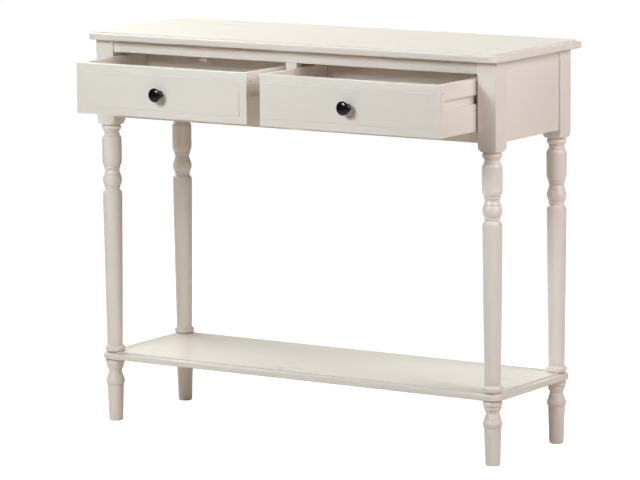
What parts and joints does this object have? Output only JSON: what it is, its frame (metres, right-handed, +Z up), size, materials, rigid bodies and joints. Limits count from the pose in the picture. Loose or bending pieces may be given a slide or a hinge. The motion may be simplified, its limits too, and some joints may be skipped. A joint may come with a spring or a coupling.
{
  "type": "console table",
  "caption": "Narrow painted console table with turned legs, a low shelf and drawers side by side that slide out from under the top.",
  "frame": {"origin": "on the floor, at the middle of the box that the table fills with its drawers part open as stored", "axes": "+X to the table's right as seen from its front, +Y from the front towards the back, +Z up"},
  "size_m": [0.958, 0.469, 0.8],
  "materials": {
    "painted_wood": "warm white satin paint over wood, with faint brush and grain lines",
    "raw_wood": "bare softwood, hidden inside the case",
    "drawer_panel": "thin pale board, matte",
    "knob_black": "gloss black enamel",
    "runner_plastic": "matte black extruded plastic",
    "zinc_steel": "zinc plated"
  },
  "bodies": {
    "table_frame": {"table_top": "painted_wood", "lower_shelf": "painted_wood", "leg_front_left": "painted_wood", "leg_front_right": "painted_wood", "leg_back_left": "painted_wood", "leg_back_right": "painted_wood", "foot_front_left": "painted_wood", "foot_front_right": "painted_wood", "foot_back_left": "painted_wood", "foot_back_right": "painted_wood", "shelf_stud_front_left": "zinc_steel", "shelf_stud_front_right": "zinc_steel", "shelf_stud_back_left": "zinc_steel", "shelf_stud_back_right": "zinc_steel", "front_top_rail": "painted_wood", "front_bottom_rail": "painted_wood", "front_stile": "painted_wood", "side_panel_left": "painted_wood", "side_panel_right": "painted_wood", "back_panel": "painted_wood", "centre_divider": "raw_wood", "top_cleat_left": "raw_wood", "top_cleat_right": "raw_wood", "top_screw_front_left": "zinc_steel", "top_screw_front_right": "zinc_steel", "top_screw_back_left": "zinc_steel", "top_screw_back_right": "zinc_steel", "drawer_stop_left": "painted_wood", "drawer_stop_right": "painted_wood", "stop_screw_left": "zinc_steel", "stop_screw_right": "zinc_steel", "drawer_runner_left_outer": "runner_plastic", "drawer_runner_left_inner": "runner_plastic", "drawer_runner_right_inner": "runner_plastic", "drawer_runner_right_outer": "runner_plastic"},
    "drawer_left": {"drawer_left_front": "painted_wood", "drawer_left_side_left": "painted_wood", "drawer_left_side_right": "painted_wood", "drawer_left_back": "painted_wood", "drawer_left_bottom": "drawer_panel", "drawer_left_knob": "knob_black", "drawer_left_knob_screw": "zinc_steel"},
    "drawer_right": {"drawer_right_front": "painted_wood", "drawer_right_side_left": "painted_wood", "drawer_right_side_right": "painted_wood", "drawer_right_back": "painted_wood", "drawer_right_bottom": "drawer_panel", "drawer_right_knob": "knob_black", "drawer_right_knob_screw": "zinc_steel"}
  },
  "joints": [
    {"name": "drawer_left_slide", "type": "slide", "parent": "table_frame", "child": "drawer_left", "axis": [0, -1, 0], "range_m": [-0.136, 0.059]},
    {"name": "drawer_right_slide", "type": "slide", "parent": "table_frame", "child": "drawer_right", "axis": [0, -1, 0], "range_m": [-0.14, 0.055]}
  ]
}
